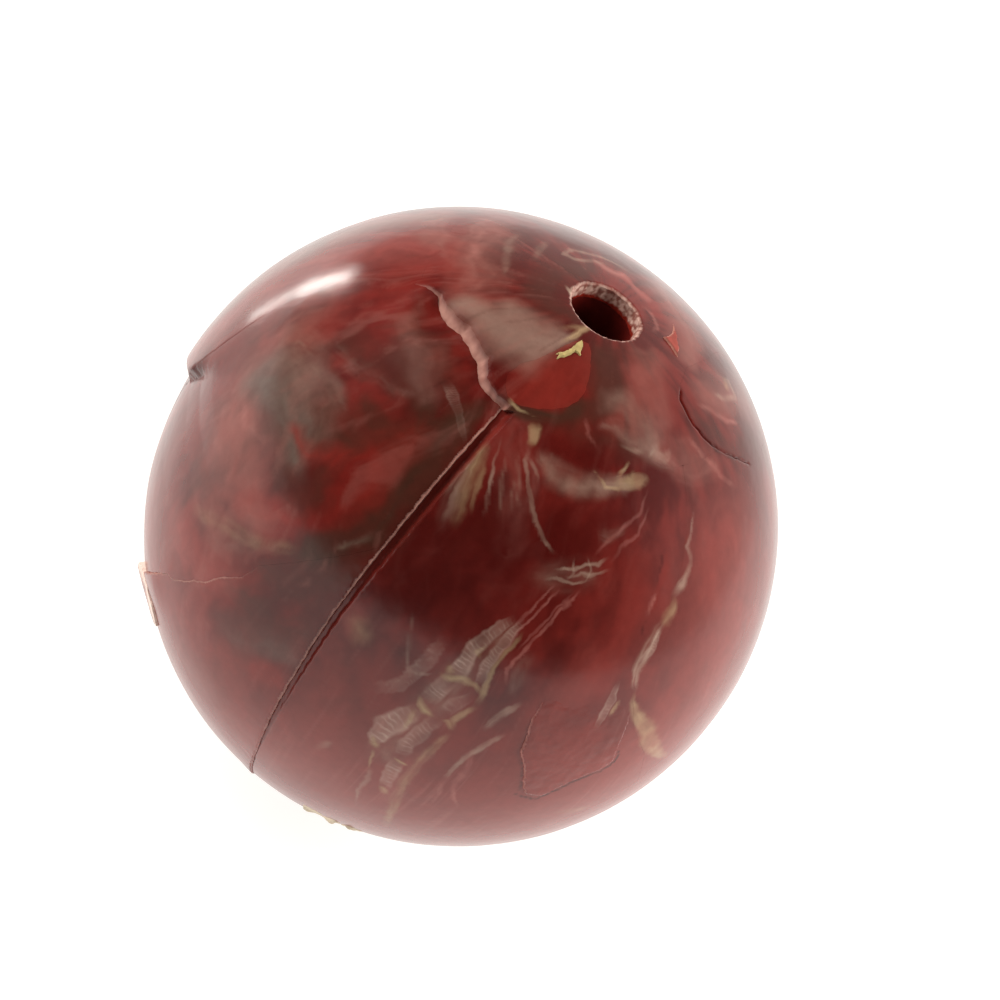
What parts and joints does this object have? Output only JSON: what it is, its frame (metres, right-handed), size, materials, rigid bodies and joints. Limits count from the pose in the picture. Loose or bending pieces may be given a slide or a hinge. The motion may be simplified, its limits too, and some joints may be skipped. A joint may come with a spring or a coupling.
{
  "type": "billiard ball",
  "caption": "Marbled oxblood billiard ball with a blind bore, its moulded cover split along its seams into plates, with small flakes lifting.",
  "frame": {"origin": "the ball's centre", "axes": "+Z along the bore, out of its mouth; -Y towards the open crack in the cover"},
  "size_m": [0.0572, 0.0572, 0.057],
  "materials": {
    "core_red": "dull, deep red",
    "cover_oxblood": "polished, marbled oxblood",
    "cover_smoky": "polished, smoky grey-brown over red",
    "flake_pink": "broken edge, pale pink",
    "chip_straw": "broken edge, straw yellow"
  },
  "bodies": {
    "root": {"core": "core_red", "crown_plate": "cover_smoky", "round_patch": "cover_oxblood", "left_plate": "cover_smoky", "lower_left_plate": "cover_oxblood", "front_plate": "cover_oxblood", "right_plate": "cover_oxblood", "back_right_plate": "cover_oxblood", "back_left_plate": "cover_oxblood", "upper_left_plate": "cover_oxblood", "scale_plate": "cover_oxblood", "top_sliver": "cover_smoky", "tongue_flake": "cover_oxblood", "edge_flap": "flake_pink", "triangle_flake": "flake_pink", "yellow_chip": "chip_straw", "base_flake_left": "chip_straw", "base_flake_middle": "chip_straw", "base_flake_right": "chip_straw"}
  },
  "joints": []
}
